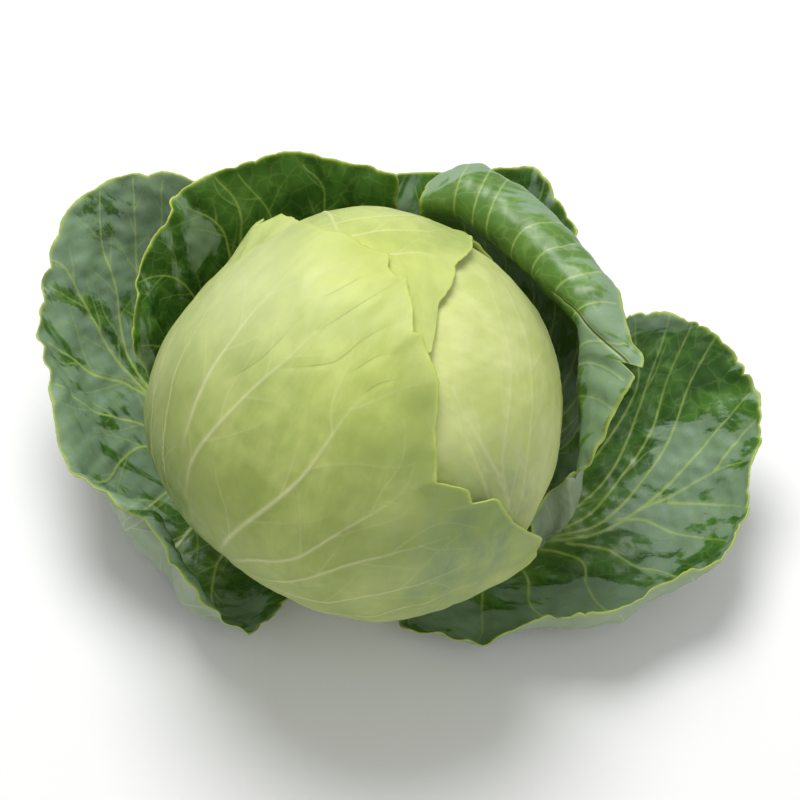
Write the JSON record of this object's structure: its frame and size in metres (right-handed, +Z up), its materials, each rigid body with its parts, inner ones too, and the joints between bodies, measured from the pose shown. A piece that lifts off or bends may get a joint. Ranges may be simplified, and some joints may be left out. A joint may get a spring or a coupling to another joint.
{
  "type": "cabbage",
  "caption": "Head of cabbage standing on its cut stem, with a dense round heart, torn wrapper leaves and open, veined outer leaves.",
  "frame": {"origin": "centre of the stem's flat cut face, which the head stands on", "axes": "+Z up through the stem and the heart, -Y towards the front as pictured, +X to the right"},
  "size_m": [0.3243, 0.2314, 0.1869],
  "materials": {
    "stem": "matt, moist cut face",
    "heart_leaf": "waxy, satin",
    "wrapper_leaf": "waxy, satin",
    "outer_leaf": "waxy, satin"
  },
  "bodies": {
    "root": {"stem": "stem", "heart": "heart_leaf", "wrapper_leaf_front": "wrapper_leaf", "wrapper_leaf_top": "wrapper_leaf", "outer_leaf_left": "outer_leaf", "outer_leaf_back_left": "outer_leaf", "outer_leaf_back_right": "outer_leaf", "outer_leaf_far_back_right": "outer_leaf", "outer_leaf_right": "outer_leaf"}
  },
  "joints": []
}
